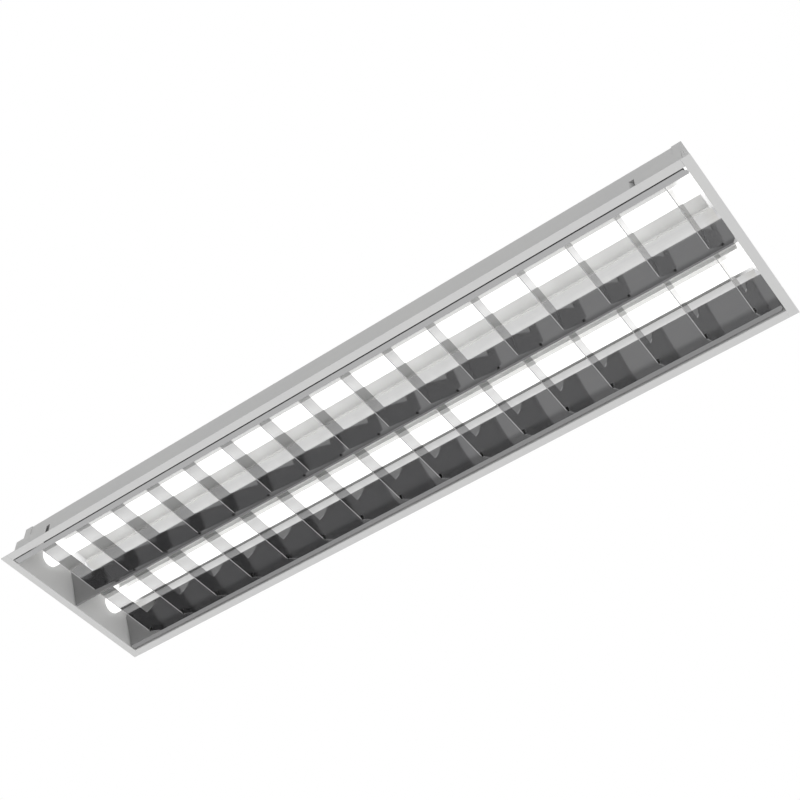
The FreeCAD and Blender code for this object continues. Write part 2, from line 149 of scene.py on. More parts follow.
# White of the housing: the darkest and lightest cloud in its coat.
HOUSING_WHITE = ("#CCCCCC", "#CFCFCE")
SENSOR_MM = 36.0
# The sky darkens over these ranges of the direction's height and of its turn to the near or right.
SKY_HEIGHT = (0.0, 0.25)
SKY_SIDE = (-0.05, 0.3)
SKY_LIGHT = "#FFFFFF"
SKY_SHADE = "#AAAAAA"


# ---------------------------------------------------------------- sizes a user would change
class LouvreSizes(bpy.types.PropertyGroup):
    rail_width: bpy.props.FloatProperty(
        name="Rail width", description="Flat rail along the foot of each side reflector",
        default=8.7 * MM, unit="LENGTH")
    mid_in: bpy.props.FloatProperty(
        name="Curve drawn in",
        description="How far the reflector has curved in at its middle point",
        default=12.9 * MM, unit="LENGTH")
    mid_rise: bpy.props.FloatProperty(
        name="Curve middle height",
        description="Height of the reflector's middle point over its foot",
        default=30.0 * MM, unit="LENGTH")
    sheet: bpy.props.FloatProperty(
        name="Sheet", description="Thickness of the reflector sheet",
        default=0.5 * MM, unit="LENGTH")
    rail_lift: bpy.props.FloatProperty(
        name="Rail lift", description="How far the rail's outer edge stands above its inner edge",
        default=0.85 * MM, unit="LENGTH")
    top_hem: bpy.props.FloatProperty(
        name="Top hem", description="Edge turned outwards along the top of each side reflector",
        default=7.5 * MM, unit="LENGTH")
    ridge_tip_half: bpy.props.FloatProperty(
        name="Ridge tip", description="Half the width of the flat fold along the ridge",
        default=1.3 * MM, unit="LENGTH")
    ridge_nose_half: bpy.props.FloatProperty(
        name="Ridge nose", description="Half the V's width at the top of its straight nose",
        default=5.0 * MM, unit="LENGTH")
    ridge_nose_rise: bpy.props.FloatProperty(
        name="Ridge nose height", description="Height of the V's straight nose",
        default=7.0 * MM, unit="LENGTH")
    ridge_mid_half: bpy.props.FloatProperty(
        name="Ridge middle", description="Half the V's width at its middle point",
        default=15.1 * MM, unit="LENGTH")
    ridge_mid_rise: bpy.props.FloatProperty(
        name="Ridge middle height", description="Height of the V's middle point over its foot",
        default=30.0 * MM, unit="LENGTH")
    top_corner: bpy.props.FloatProperty(
        name="Top corner",
        description="Cut corner at the side reflectors' top, clear of the holders",
        default=12.0 * MM, unit="LENGTH")
    corner: bpy.props.FloatProperty(
        name="Corner", description="Cut corner at the right end of the rails and the ridge",
        default=4.0 * MM, unit="LENGTH")
    strips: bpy.props.IntProperty(
        name="Strips", description="Strips that each curve is drawn with", default=44, min=8)
    slit_fit: bpy.props.FloatProperty(
        name="Slit clearance", description="Gap beside a blade in its slit",
        default=0.2 * MM, unit="LENGTH")
    slit_extra: bpy.props.FloatProperty(
        name="Slit length past the blade", description="Open slit beside the blade's tab",
        default=2.0 * MM, unit="LENGTH")
    slit_foot: bpy.props.FloatProperty(
        name="Slit height", description="Height of the blade tab's slit",
        default=7.6 * MM, unit="LENGTH")


class TubeSizes(bpy.types.PropertyGroup):
    steps: bpy.props.IntProperty(
        name="Steps", description="Facets round the tube", default=64, min=16)
    shoulder: bpy.props.FloatProperty(
        name="Shoulder", description="Rounded end of the glass inside its cap",
        default=3.0 * MM, unit="LENGTH")
    pin_pitch: bpy.props.FloatProperty(
        name="Pin pitch", description="Distance between the two contact pins",
        default=12.7 * MM, unit="LENGTH")
    pin_radius: bpy.props.FloatProperty(
        name="Pin radius", description="Radius of a contact pin", default=1.175 * MM, unit="LENGTH")
    pin_length: bpy.props.FloatProperty(
        name="Pin length", description="Free length of a contact pin",
        default=7.1 * MM, unit="LENGTH")
    cap_groove: bpy.props.FloatProperty(
        name="Cap groove", description="Depth of the crimped groove round the cap",
        default=0.25 * MM, unit="LENGTH")
    disc_radius: bpy.props.FloatProperty(
        name="Disc radius", description="Insulating disc in the cap's end",
        default=9.2 * MM, unit="LENGTH")


class Finishes(bpy.types.PropertyGroup):
    glow: bpy.props.FloatProperty(
        name="Tube glow", description="Brightness of the lit tubes", default=1.1, min=0)
    # Painted glow: emission on the holders and rotors, standing in for lamplight.
    holder_painted_glow: bpy.props.FloatProperty(
        name="Holder glow", description="Lamplight that shines through the white holders",
        default=1.0, min=0)
    # Painted glow: emission on the tubes' caps, standing in for lamplight on them.
    cap_painted_glow: bpy.props.FloatProperty(
        name="Cap glow", description="Lamplight that the tubes' caps throw back",
        default=0.8, min=0)
    glow_end: bpy.props.FloatProperty(
        name="Glow end", description="Place along X where the holders go through the end plates",
        default=610 * MM, min=0, unit="LENGTH")
    # Painted glow: emission on the roof's inside near its ends, standing in for lamplight.
    roof_painted_glow: bpy.props.FloatProperty(
        name="Roof glow", description="Lamplight that the roof's inside throws back at its ends",
        default=0.6, min=0)
    roof_painted_glow_start: bpy.props.FloatProperty(
        name="Roof glow start",
        description="Place along X from which the roof's inside reads white",
        default=590 * MM, min=0, unit="LENGTH")
    mirror_blur: bpy.props.FloatProperty(
        name="Mirror blur", description="Roughness of the louvre's sheet",
        default=0.06, min=0, max=1)


class StudioSizes(bpy.types.PropertyGroup):
    camera_place: bpy.props.FloatVectorProperty(
        name="Camera place", description="Where the camera stands", subtype="TRANSLATION",
        default=(0.86716, -1.08108, -1.50161))
    camera_tilt: bpy.props.FloatProperty(
        name="Camera tilt", description="Turn from straight down to the view upwards",
        default=math.radians(139.2103), subtype="ANGLE")
    camera_roll: bpy.props.FloatProperty(
        name="Camera roll", description="Small lean of the camera",
        default=math.radians(-0.1389), subtype="ANGLE")
    camera_turn: bpy.props.FloatProperty(
        name="Camera turn", description="Turn about the upright",
        default=math.radians(36.6357), subtype="ANGLE")
    lens: bpy.props.FloatProperty(
        name="Lens", description="Focal length on a 36 mm sensor, in millimetres", default=61.99)
    floor_drop: bpy.props.FloatProperty(
        name="Floor drop", description="Height of the light over the floor",
        default=2.45, unit="LENGTH")
    floor_size: bpy.props.FloatProperty(
        name="Floor size", description="Side of the floor", default=14.0, unit="LENGTH")
    floor_glow: bpy.props.FloatProperty(
        name="Floor glow", description="Soft light that comes up from the floor",
        default=0.50, min=0)
    far_glow: bpy.props.FloatProperty(
        name="Far glow", description="What is left of the floor's glow on the far side",
        default=0.10, min=0)
    glow_end: bpy.props.FloatProperty(
        name="Glow end", description="Place on the far side where the floor's glow has faded",
        default=2.95, unit="LENGTH")
    glow_fade: bpy.props.FloatProperty(
        name="Glow fade", description="Width over which the floor's glow fades",
        default=0.5, unit="LENGTH")


# ---------------------------------------------------------------- mesh helpers
def new_piece(name, mesh, node, material=None):
    """Links a piece that stands for a CAD node, hides that node, rides with its body and takes the
    material if one is given.
    """
    piece = bpy.data.objects.new(name, mesh)
    bpy.context.collection.objects.link(piece)
    if material:
        mesh.materials.append(material)
    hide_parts(node)
    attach(piece, BODY_OF[node])
    return piece


def shade(mesh, smooth=True):
    """Smooth faces with hard lines where the surface turns sharply, or flat faces throughout."""
    bm = bmesh.new()
    bm.from_mesh(mesh)
    for face in bm.faces:
        face.smooth = smooth
    for edge in bm.edges:
        edge.smooth = len(edge.link_faces) == 2 and edge.calc_face_angle(0.0) < SHARP_ANGLE
    bm.to_mesh(mesh)
    bm.free()


def welded(node):
    """A bmesh of a CAD node with its split points joined and its flat facets merged."""
    data = NODES[node].data
    clean = bpy.data.meshes.new("clean")
    clean.from_pydata([v.co for v in data.vertices], [], [list(p.vertices) for p in data.polygons])
    bm = bmesh.new()
    bm.from_mesh(clean)
    bpy.data.meshes.remove(clean)
    bmesh.ops.remove_doubles(bm, verts=bm.verts, dist=WELD)
    bmesh.ops.dissolve_limit(bm, angle_limit=FLAT_ANGLE, verts=bm.verts, edges=bm.edges)
    return bm


def solid_boxes(node):
    """Lowest and highest corner of each solid in one CAD node, in order of their places."""
    bm = welded(node)
    left = set(bm.verts)
    boxes = []
    while left:
        stack = [left.pop()]
        found = list(stack)
        while stack:
            for edge in stack.pop().link_edges:
                for vert in edge.verts:
                    if vert in left:
                        left.remove(vert)
                        stack.append(vert)
                        found.append(vert)
        low = Vector([min(v.co[i] for v in found) for i in range(3)])
        high = Vector([max(v.co[i] for v in found) for i in range(3)])
        boxes.append((low, high))
    bm.free()
    return sorted(boxes, key=lambda box: tuple(box[0]))


def eased_copy(node, width, material, smooth=True):
    """The CAD piece's own shape with its cut and folded edges rounded by width."""
    bm = welded(node)
    mesh = bpy.data.meshes.new(node + "_finished")
    bm.to_mesh(mesh)
    bm.free()
    shade(mesh, smooth)
    piece = new_piece(node + "_finished", mesh, node, material)
    ease = piece.modifiers.new("eased_edges", "BEVEL")
    ease.width = width
    ease.segments = 2 if smooth else 1
    ease.limit_method = "ANGLE"
    ease.angle_limit = SHARP_ANGLE
    ease.use_clamp_overlap = True
    ease.harden_normals = smooth
    return piece


def spin(bm, outline, origin, along, steps, material_index=0):
    """Turned form: (distance, radius) points about an axis. A radius of 0 closes the end."""
    along = Vector(along)
    across = Vector((0, 0, 1)) if abs(along.z) < 0.5 else Vector((1, 0, 0))
    second = along.cross(across)
    rings = []
    for distance, radius in outline:
        centre = Vector(origin) + along * distance
        if radius <= 0:
            rings.append([bm.verts.new(centre)])
            continue
        turns = [2 * math.pi * i / steps for i in range(steps)]
        spokes = [across * math.cos(t) + second * math.sin(t) for t in turns]
        rings.append([bm.verts.new(centre + spoke * radius) for spoke in spokes])
    for a, b in zip(rings, rings[1:]):
        for i in range(steps):
            j = (i + 1) % steps
            corners = [a[i % len(a)], a[j % len(a)], b[j % len(b)], b[i % len(b)]]
            face = bm.faces.new(list(dict.fromkeys(corners)))
            face.material_index = material_index


def dome(distance, radius, height, steps=5):
    """Points of a rounded head that ends in its centre."""
    turns = [math.pi / 2 * i / steps for i in range(steps + 1)]
    points = [(distance + height * math.sin(t), radius * math.cos(t)) for t in turns[:-1]]
    return points + [(distance + height, 0)]


def finish_bmesh(bm, name):
    """Turns a bmesh into a mesh with outward faces and hard lines."""
    bmesh.ops.recalc_face_normals(bm, faces=bm.faces)
    mesh = bpy.data.meshes.new(name)
    bm.to_mesh(mesh)
    bm.free()
    shade(mesh)
    return mesh


# ---------------------------------------------------------------- material helpers
def linear(hex_text, alpha=1.0):
    """sRGB hex colour as linear values."""
    parts = [int(hex_text[i:i + 2], 16) / 255 for i in (1, 3, 5)]
    return [c / 12.92 if c <= 0.04045 else ((c + 0.055) / 1.055) ** 2.4 for c in parts] + [alpha]


def add_node(tree, kind, values=None, links=None, **settings):
    """Adds a node with its settings, its socket values and its incoming links."""
    made = tree.nodes.new(kind)
    for key, value in settings.items():
        setattr(made, key, value)
    for key, value in (values or {}).items():
        made.inputs[key].default_value = value
    for key, source in (links or {}).items():
        tree.links.new(source, made.inputs[key])
    return made


def start_material(name, metallic, roughness, ior=None):
    """A material with its shader, returned with its tree, shader and object coordinates."""
    material = bpy.data.materials.new(name)
    material.use_nodes = True
    tree = material.node_tree
    shader = tree.nodes["Principled BSDF"]
    shader.inputs["Metallic"].default_value = metallic
    shader.inputs["Roughness"].default_value = roughness
    if ior:
        shader.inputs["IOR"].default_value = ior
    place = add_node(tree, "ShaderNodeTexCoord").outputs["Object"]
    return material, tree, shader, place


def scaled(tree, place, scale):
    """Object coordinates stretched by a scale for each axis."""
    mapping = add_node(tree, "ShaderNodeMapping", {"Scale": scale}, {"Vector": place})
    return mapping.outputs["Vector"]


def noise(tree, vector, size_mm, detail=2.0):
    """Noise whose lumps are about size_mm across."""
    values = {"Scale": 1000 / size_mm, "Detail": detail, "Roughness": 0.5}
    return add_node(tree, "ShaderNodeTexNoise", values, {"Vector": vector}).outputs["Fac"]


def between(tree, factor, low, high):
    """A grey value that follows factor between low and high."""
    values = {"From Min": 0.3, "From Max": 0.7, "To Min": low, "To Max": high}
    return add_node(tree, "ShaderNodeMapRange", values, {"Value": factor}).outputs["Result"]


def tinted(tree, factor, dark, light):
    """A colour that follows factor between two hex colours."""
    ramp = add_node(tree, "ShaderNodeValToRGB", links={"Fac": factor})
    ramp.color_ramp.elements[0].position = 0.3
    ramp.color_ramp.elements[1].position = 0.7
    ramp.color_ramp.elements[0].color = linear(dark)
    ramp.color_ramp.elements[1].color = linear(light)
    return ramp.outputs["Color"]


def bumped(tree, shader, height, depth_mm, strength):
    """Bump of a real depth on the shader's normal."""
    values = {"Strength": strength, "Distance": depth_mm * MM}
    bump = add_node(tree, "ShaderNodeBump", values, {"Height": height})
    tree.links.new(bump.outputs["Normal"], shader.inputs["Normal"])


def ramp_out(tree, place, start, end):
    """A value that runs between two (distance from the middle along X, value) places."""
    along = add_node(tree, "ShaderNodeSeparateXYZ", links={"Vector": place}).outputs["X"]
    out = add_node(tree, "ShaderNodeMath", links={0: along}, operation="ABSOLUTE").outputs["Value"]
    values = {"From Min": start[0], "From Max": end[0], "To Min": start[1], "To Max": end[1]}
    return add_node(tree, "ShaderNodeMapRange", values, {"Value": out}).outputs["Result"]


def add_painted_glow(tree, shader, place, start, end):
    """Painted glow: emission that stands for lamplight on the surface, between two (distance from
    the middle, strength) places.
    """
    shader.inputs["Emission Color"].default_value = linear("#FFFFFF")
    tree.links.new(ramp_out(tree, place, start, end), shader.inputs["Emission Strength"])


# ---------------------------------------------------------------- materials

def powder_coat(name, dark, light, glow=0.0, glow_start=0.0):
    """Polyester powder coat on folded steel: satin white with faint orange peel."""
    material, tree, shader, place = start_material(name, metallic=0.0, roughness=0.42, ior=1.5)
    cloud = noise(tree, place, size_mm=140, detail=3)
    peel = noise(tree, place, size_mm=2.4, detail=1)
    tree.links.new(tinted(tree, cloud, dark, light), shader.inputs["Base Color"])
    tree.links.new(between(tree, peel, 0.38, 0.46), shader.inputs["Roughness"])
    bumped(tree, shader, peel, depth_mm=0.02, strength=0.15)
    # The glow is painted light: emission that stands for lamplight on the coat.
    if glow:
        add_painted_glow(tree, shader, place, (glow_start - ROOF_FADE, 0.0), (glow_start, glow))
    return material


def anodised_mirror(name, dark, light, blur):
    """Bright anodised aluminium: a grey mirror with fine rolling lines along X."""
    material, tree, shader, place = start_material(name, metallic=1.0, roughness=blur)
    # Rolling lines are about 0.1 mm apart. They are drawn 1.2 mm apart, so that they show.
    lines = noise(tree, scaled(tree, place, (0.01, 1, 1)), size_mm=1.2)
    tree.links.new(tinted(tree, lines, dark, light), shader.inputs["Base Color"])
    tree.links.new(between(tree, lines, blur * 0.8, blur * 1.2), shader.inputs["Roughness"])
    return material


def zinc_plate():
    """Bright zinc plating on pressed steel: soft metallic grey with cloudy patches."""
    material, tree, shader, place = start_material(
        "zinc_plated_steel", metallic=1.0, roughness=0.32)
    cloud = noise(tree, place, size_mm=6, detail=3)
    grain = noise(tree, place, size_mm=0.8)
    tree.links.new(tinted(tree, cloud, "#A9ABAE", "#C2C4C6"), shader.inputs["Base Color"])
    tree.links.new(between(tree, grain, 0.26, 0.4), shader.inputs["Roughness"])
    return material


def phosphor_glass(glow, half_length):
    """Soda-lime glass tube with a phosphor coat inside: it glows evenly and greys at its ends."""
    material, tree, shader, place = start_material(
        "phosphor_coated_glass", metallic=0.0, roughness=0.12, ior=1.52)
    # The coat darkens over the last 25 mm before each cap, where the electrodes sit.
    end = ramp_out(tree, place, (half_length - 25 * MM, 0.0), (half_length, 1.0))
    grain = noise(tree, place, size_mm=1.5, detail=1)
    mixed = add_node(
        tree, "ShaderNodeMath", {2: 0.04}, {0: grain, 1: end}, operation="MULTIPLY_ADD")
    ramp = add_node(tree, "ShaderNodeValToRGB", links={"Fac": mixed.outputs["Value"]})
    ramp.color_ramp.elements[0].color = linear("#FFFFFF")
    ramp.color_ramp.elements[1].color = linear("#D9D4C8")
    tree.links.new(ramp.outputs["Color"], shader.inputs["Emission Color"])
    shader.inputs["Emission Strength"].default_value = glow
    shader.inputs["Base Color"].default_value = linear("#EDEDEA")
    return material


def drawn_aluminium(glow):
    """Deep-drawn aluminium cup: satin metal with fine lines round it, with a painted glow that
    stands for its lamp's light.
    """
    material, tree, shader, place = start_material("drawn_aluminium", metallic=1.0, roughness=0.42)
    # Painted glow that stands for lamplight on the cap.
    shader.inputs["Emission Color"].default_value = linear("#FFFFFF")
    shader.inputs["Emission Strength"].default_value = glow
    lines = noise(tree, scaled(tree, place, (1, 0.05, 0.05)), size_mm=0.5)
    tree.links.new(tinted(tree, lines, "#E9EAEB", "#F1F1F2"), shader.inputs["Base Color"])
    tree.links.new(between(tree, lines, 0.36, 0.48), shader.inputs["Roughness"])
    return material


def nickel_brass():
    """Nickel-plated brass pins: bright and slightly warm."""
    material, tree, shader, place = start_material(
        "nickel_plated_brass", metallic=1.0, roughness=0.2)
    cloud = noise(tree, place, size_mm=1.5)
    tree.links.new(tinted(tree, cloud, "#BDB6A4", "#CFC9B8"), shader.inputs["Base Color"])
    return material


def phenolic_board():
    """Pressed phenolic disc: matt and warm brown, with a paper fleck."""
    material, tree, shader, place = start_material(
        "phenolic_disc", metallic=0.0, roughness=0.55, ior=1.6)
    fleck = noise(tree, place, size_mm=0.6, detail=3)
    tree.links.new(tinted(tree, fleck, "#8A6F52", "#A08464"), shader.inputs["Base Color"])
    return material


def moulded_plastic(name, dark, light, roughness, grain_mm, ior, glow=0.0, glow_end=0.0):
    """Injection-moulded plastic with a fine spark-eroded grain. Given glow, it has a painted glow up
    to glow_end along X, standing in for lamplight.
    """
    material, tree, shader, place = start_material(name, metallic=0.0, roughness=roughness, ior=ior)
    if glow:
        add_painted_glow(tree, shader, place, (glow_end - PLATE_FADE, glow), (glow_end, 0.0))
    grain = noise(tree, place, grain_mm)
    tree.links.new(tinted(tree, grain, dark, light), shader.inputs["Base Color"])
    spread = between(tree, grain, roughness * 0.85, roughness * 1.15)
    tree.links.new(spread, shader.inputs["Roughness"])
    bumped(tree, shader, grain, depth_mm=0.01, strength=0.2)
    return material


def studio_floor(sizes):
    """Pale matt floor, lit from within like a light table, less so on the far side."""
    material, tree, shader, place = start_material(
        "pale_floor", metallic=0.0, roughness=0.9, ior=1.5)
    cloud = noise(tree, place, size_mm=900)
    tree.links.new(tinted(tree, cloud, "#E6E6E6", "#E9E9E9"), shader.inputs["Base Color"])
    across = add_node(tree, "ShaderNodeSeparateXYZ", links={"Vector": place}).outputs["Y"]
    values = {"From Min": sizes.glow_end - sizes.glow_fade, "From Max": sizes.glow_end,
              "To Min": sizes.floor_glow, "To Max": sizes.far_glow}
    fade = add_node(tree, "ShaderNodeMapRange", values, {"Value": across},
                    interpolation_type="SMOOTHSTEP")
    shader.inputs["Emission Color"].default_value = linear("#FFFFFF")
    tree.links.new(fade.outputs["Result"], shader.inputs["Emission Strength"])
    return material


# ---------------------------------------------------------------- louvre
def arc_side(foot, middle, top, steps, extra=()):
    """(y, z) points up the circle through three points, level by level, with the extra levels."""
    ax, ay = middle[0] - foot[0], middle[1] - foot[1]
    bx, by = top[0] - foot[0], top[1] - foot[1]
    cross = 2 * (ax * by - ay * bx)
    cy = foot[0] + (by * (ax * ax + ay * ay) - ay * (bx * bx + by * by)) / cross
    cz = foot[1] + (ax * (bx * bx + by * by) - bx * (ax * ax + ay * ay)) / cross
    radius = math.hypot(foot[0] - cy, foot[1] - cz)
    side = 1 if foot[0] > cy else -1
    levels = {foot[1] + (top[1] - foot[1]) * i / steps for i in range(steps + 1)} | set(extra)
    return [(cy + side * math.sqrt(radius ** 2 - (z - cz) ** 2), z) for z in sorted(levels)]


def bent_sheet(name, profile, stations, hole, corners, thickness):
    """Sheet drawn along X without the cells in hole, cut at each corner's plane, then thickened."""
    bm = bmesh.new()
    rows = [[bm.verts.new((x, y, z)) for y, z in profile] for x in stations]
    for i in range(len(stations) - 1):
        for j in range(len(profile) - 1):
            x = (stations[i] + stations[i + 1]) / 2
            z = (profile[j][1] + profile[j + 1][1]) / 2
            if not hole(x, z):
                bm.faces.new((rows[i][j], rows[i + 1][j], rows[i + 1][j + 1], rows[i][j + 1]))
    for point, outward in corners:
        whole = bm.verts[:] + bm.edges[:] + bm.faces[:]
        bmesh.ops.bisect_plane(bm, geom=whole, plane_co=point, plane_no=outward, clear_outer=True)
    loose = [v for v in bm.verts if not v.link_faces]
    bmesh.ops.delete(bm, geom=loose, context="VERTS")
    mesh = bpy.data.meshes.new(name)
    bm.to_mesh(mesh)
    bm.free()
    sheet = bpy.data.objects.new(name, mesh)
    bpy.context.collection.objects.link(sheet)
    solid = sheet.modifiers.new("thickness", "SOLIDIFY")
    solid.thickness = abs(thickness)
    solid.offset = math.copysign(1, thickness)
    solid.use_even_offset = True
    solid.use_quality_normals = True
    thick = sheet.evaluated_get(bpy.context.evaluated_depsgraph_get())
    made = bpy.data.meshes.new_from_object(thick)
    bpy.data.objects.remove(sheet)
    made.name = name
    shade(made)
    return made


def blade_spans():
    """(low x, high x) of every cross blade."""
    return [(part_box(name)[0].x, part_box(name)[1].x) for name in BLADES]


def slit_stations(spans, half):
    """All places along X where a slit's side or an end of the sheet lies."""
    places = {-half, half}
    for low, high in spans:
        places |= {low, high}
    return sorted(places)


def side_reflector(side_name, side, sizes, material):
    """Curved outer reflector with its flat rail, slit for the blades' tabs."""
    half = LOUVRE_HIGH.x
    foot = (LOUVRE_HIGH.y - sizes.rail_width, LOUVRE_LOW.z)
    middle = (foot[0] - sizes.mid_in, foot[1] + sizes.mid_rise)
    top = (LOUVRE_LOW.y, LOUVRE_HIGH.z)
    blade_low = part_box(BLADES[0])[0].z
    slit_low = blade_low - BLADE_ROOM
    slit_high = slit_low + sizes.slit_foot
    curve = arc_side(foot, middle, top, sizes.strips, (slit_low, slit_high))
    rail = [(LOUVRE_HIGH.y, foot[1] + sizes.rail_lift)]
    hem = [(top[0] + sizes.top_hem, top[1])]
    profile = [(side * y, z) for y, z in rail + curve + hem]
    spans = [(low - sizes.slit_fit, high + sizes.slit_extra) for low, high in blade_spans()]

    def hole(x, z):
        return slit_low < z < slit_high and any(low < x < high for low, high in spans)

    corners = [((half - sizes.corner, side * LOUVRE_HIGH.y, 0), (1, side, 0))]
    for end in (-1, 1):
        corners.append(((end * (half - sizes.top_corner), 0, LOUVRE_HIGH.z), (end, 0, 1)))
    name = "side_reflector_" + side_name
    stations = slit_stations(spans, half)
    mesh = bent_sheet(name + "_sheet", profile, stations, hole, corners, side * sizes.sheet)
    return new_piece(name + "_sheet", mesh, name, material)


def ridge_reflector(sizes, material, fold_shade_material):
    """Folded V between the rows, slotted for the blades, with painted shade on its fold along the
    tip.
    """
    half = RIDGE_HIGH.x
    base = RIDGE_LOW.z
    nose = (sizes.ridge_nose_half, base + sizes.ridge_nose_rise)
    middle = (sizes.ridge_mid_half, base + sizes.ridge_mid_rise)
    top = (RIDGE_HIGH.y, RIDGE_HIGH.z)
    blade_low, blade_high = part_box(BLADES[0])
    slot_low = blade_low.z - BLADE_ROOM
    slot_high = blade_high.z + BLADE_ROOM
    tip = sizes.ridge_tip_half
    fold = [(0.0, base), (tip, base), (tip + FOLD_OUT, base + FOLD_UP)]
    right = fold + arc_side(nose, middle, top, sizes.strips, (slot_high,))
    profile = [(-y, z) for y, z in reversed(right)] + right[1:]
    spans = [(low - SLOT_FIT, high + SLOT_FIT) for low, high in blade_spans()]

    def hole(x, z):
        return slot_low < z < slot_high and any(low < x < high for low, high in spans)

    corners = [((half - sizes.corner, 0, base), (1, 0, -1))]
    name = "centre_reflector_sheet"
    mesh = bent_sheet(name, profile, slit_stations(spans, half), hole, corners, sizes.sheet)
    piece = new_piece(name, mesh, "centre_reflector", material)
    mesh.materials.append(fold_shade_material)
    # Faces of the fold take the darker mirror: painted shade along the crease.
    for face in mesh.polygons:
        if face.center.z < base + FOLD_HEIGHT:
            face.material_index = 1
    return piece


# ---------------------------------------------------------------- tubes
def tube_glass(side_name, sizes, material):
    """Glass tube with rounded shoulders inside its caps."""
    node = "lamp_glass_" + side_name
    low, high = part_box(node)
    centre = (low + high) / 2
    radius = (high.z - low.z) / 2
    length = high.x - low.x
    soft = sizes.shoulder
    turns = [math.pi / 2 * i / SHOULDER_STEPS for i in range(SHOULDER_STEPS + 1)]
    curve = [(soft * (1 - math.sin(t)), radius - soft * (1 - math.cos(t))) for t in turns]
    start = [(0, 0)] + curve[::-1]
    outline = start + [(length - along, r) for along, r in reversed(start)]
    bm = bmesh.new()
    spin(bm, outline, (low.x, centre.y, centre.z), (1, 0, 0), sizes.steps)
    return new_piece(node + "_tube", finish_bmesh(bm, node), node, material)


def tube_cap(side_name, end_name, end, sizes, materials):
    """Crimped cap with an insulating disc and two round-nosed pins."""
    node = "lamp_cap_%s_%s" % (side_name, end_name)
    low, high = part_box(node)
    centre = (low + high) / 2
    radius = (high.z - low.z) / 2
    length = high.x - low.x - sizes.pin_length
    open_x = low.x if end > 0 else high.x
    sunk = length - CAP_RIM
    groove_radii = (radius, radius - sizes.cap_groove, radius - sizes.cap_groove, radius)
    shell = [
        (0, radius - CAP_RIM),
        (0, radius - CAP_LIP),
        (CAP_RIM, radius),
        *zip(CAP_GROOVE_EDGES, groove_radii),
        (length - CAP_CORNER, radius),
        (sunk, radius - CAP_RIM),
        (length, radius - CAP_CORNER),
        (length, sizes.disc_radius),
    ]
    disc = [(length, sizes.disc_radius), (sunk, sizes.disc_radius), (sunk, 0)]
    bm = bmesh.new()
    origin = (open_x, centre.y, centre.z)
    spin(bm, shell, origin, (end, 0, 0), sizes.steps, 0)
    spin(bm, disc, origin, (end, 0, 0), sizes.steps, 1)
    for place in (-1, 1):
        start = (open_x, centre.y + place * sizes.pin_pitch / 2, centre.z)
        shank = sizes.pin_radius
        pin = [(length + past * MM, shank + extra * MM) for past, extra in PIN_COLLAR]
        pin += dome(length + sizes.pin_length - shank, shank, shank)
        spin(bm, pin, start, (end, 0, 0), PIN_STEPS, 2)
    piece = new_piece(node + "_cap", finish_bmesh(bm, node), node)
    for material in materials:
        piece.data.materials.append(material)
    return piece


# ---------------------------------------------------------------- fasteners
def rivet_outline(length):
    """Blind rivet: a flat dome with its mandrel's pit below, a bulged tail above."""
    low = [(distance * MM, radius * MM) for distance, radius in RIVET_HEAD_OUTLINE]
    low += [(RIVET_HEAD, RIVET_FLANGE), (RIVET_HEAD, RIVET_SHANK)]
    tail = length - RIVET_HEAD
    bulge = length - RIVET_HEAD * TAIL_SHARE
    tail_foot, tail_dome = RIVET_TAIL
    high = [(tail, RIVET_SHANK), (tail, tail_foot), (bulge, RIVET_FLANGE)]
    return low + high + dome(bulge, tail_dome, RIVET_HEAD * TAIL_SHARE)


def screw_outline(length):
    """Pan-head machine screw with its thread drawn as ridges at the real pitch."""
    root = SCREW_RADIUS - THREAD_DEPTH
    points = [(0, 0)]
    points += [(PAN_HEIGHT * rise, PAN_RADIUS * share) for rise, share in PAN_SHAPE]
    points.append((PAN_HEIGHT, SCREW_RADIUS))
    along = PAN_HEIGHT
    while along + SCREW_PITCH < length - THREAD_DEPTH:
        points.append((along + SCREW_PITCH * THREAD_RISE, root))
        points.append((along + SCREW_PITCH, SCREW_RADIUS))
        along += SCREW_PITCH
    return points + [(length, root), (length, 0)]


# (node, the fastener's outline, the axis it stands along)
FASTENERS = (
    ("cap_rivets", rivet_outline, 2),
    ("wall_rivets", rivet_outline, 1),
    ("cover_screws", screw_outline, 2),
    ("ballast_screws", screw_outline, 2),
)


def fastener_group(node, outline_for, axis, material):
    """Replaces a node of like fasteners with turned ones at the same places."""
    bm = bmesh.new()
    for low, high in solid_boxes(node):
        centre = (low + high) / 2
        start = centre.copy()
        start[axis] = low[axis]
        along = [0, 0, 0]
        along[axis] = 1
        spin(bm, outline_for(high[axis] - low[axis]), start, along, FASTENER_STEPS)
    return new_piece(node + "_turned", finish_bmesh(bm, node), node, material)


def grommet_ring(material):
    """Moulded grommet with round lips."""
    node = "cable_grommet"
    low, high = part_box(node)
    centre = (low + high) / 2
    outer = (high.x - low.x) / 2
    height = high.z - low.z
    upper = height - GROMMET_LIP
    outline = [
        (BORE_EDGE, GROMMET_BORE),
        (0, GROMMET_BORE + GROMMET_SOFT),
        (0, outer - GROMMET_SOFT),
        (GROMMET_SOFT, outer),
        (GROMMET_LIP - LIP_TURN, outer),
        (GROMMET_LIP, outer - LIP_EDGE),
        (GROMMET_LIP, GROMMET_WAIST),
        (upper, GROMMET_WAIST),
        (upper, outer - LIP_EDGE),
        (upper + LIP_TURN, outer),
        (height - GROMMET_SOFT, outer),
        (height, outer - GROMMET_SOFT),
        (height, GROMMET_BORE + GROMMET_SOFT),
        (height - BORE_EDGE, GROMMET_BORE),
        (BORE_EDGE, GROMMET_BORE),
    ]
    bm = bmesh.new()
    spin(bm, outline, (centre.x, centre.y, low.z), (0, 0, 1), GROMMET_STEPS)
    bmesh.ops.remove_doubles(bm, verts=bm.verts, dist=WELD)
    return new_piece(node + "_ring", finish_bmesh(bm, node), node, material)


